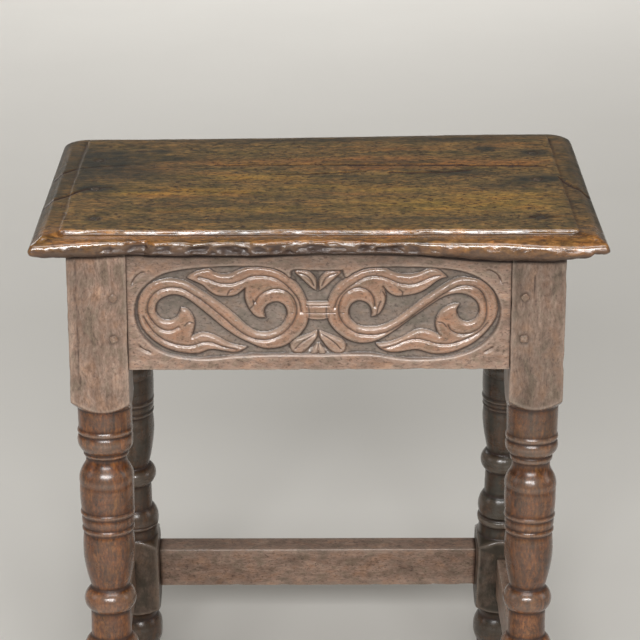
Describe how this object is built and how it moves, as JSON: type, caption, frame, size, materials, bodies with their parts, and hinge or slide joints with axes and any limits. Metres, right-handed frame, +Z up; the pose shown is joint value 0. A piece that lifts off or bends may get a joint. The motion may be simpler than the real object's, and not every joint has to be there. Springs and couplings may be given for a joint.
{
  "type": "joined stool",
  "caption": "Joined oak stool: moulded rectangular board on four turned, raked legs, with a scroll-carved front rail, plain side and back rails and low stretchers.",
  "frame": {"origin": "on the floor, under the middle of the board", "axes": "+X to the stool's right as seen from its carved front, +Y to the back, +Z up"},
  "size_m": [0.45, 0.325, 0.53],
  "materials": {
    "board_oak": "old waxed oak board, worn and rubbed",
    "frame_oak": "old dry oak, hand planed and carved",
    "turned_oak": "old waxed oak, turned and polished by use",
    "peg_oak": "riven oak pegs, dark with age"
  },
  "bodies": {
    "root": {"front_frieze_rail": "frame_oak", "front_left_frieze_pegs_in_front": "peg_oak", "front_left_frieze_pegs_in_left": "peg_oak", "front_left_leg": "turned_oak", "front_left_stretcher_pegs_in_front": "peg_oak", "front_left_stretcher_pegs_in_left": "peg_oak", "front_right_frieze_pegs_in_front": "peg_oak", "front_right_frieze_pegs_in_right": "peg_oak", "front_right_leg": "turned_oak", "front_right_stretcher_pegs_in_front": "peg_oak", "front_right_stretcher_pegs_in_right": "peg_oak", "front_stretcher": "frame_oak", "left_board_pegs": "peg_oak", "left_frieze_rail": "frame_oak", "left_stretcher": "frame_oak", "rear_frieze_rail": "frame_oak", "rear_left_frieze_pegs_in_left": "peg_oak", "rear_left_frieze_pegs_in_rear": "peg_oak", "rear_left_leg": "turned_oak", "rear_left_stretcher_pegs_in_left": "peg_oak", "rear_left_stretcher_pegs_in_rear": "peg_oak", "rear_right_frieze_pegs_in_rear": "peg_oak", "rear_right_frieze_pegs_in_right": "peg_oak", "rear_right_leg": "turned_oak", "rear_right_stretcher_pegs_in_rear": "peg_oak", "rear_right_stretcher_pegs_in_right": "peg_oak", "rear_stretcher": "frame_oak", "right_board_pegs": "peg_oak", "right_frieze_rail": "frame_oak", "right_stretcher": "frame_oak", "seat_board": "board_oak"}
  },
  "joints": []
}
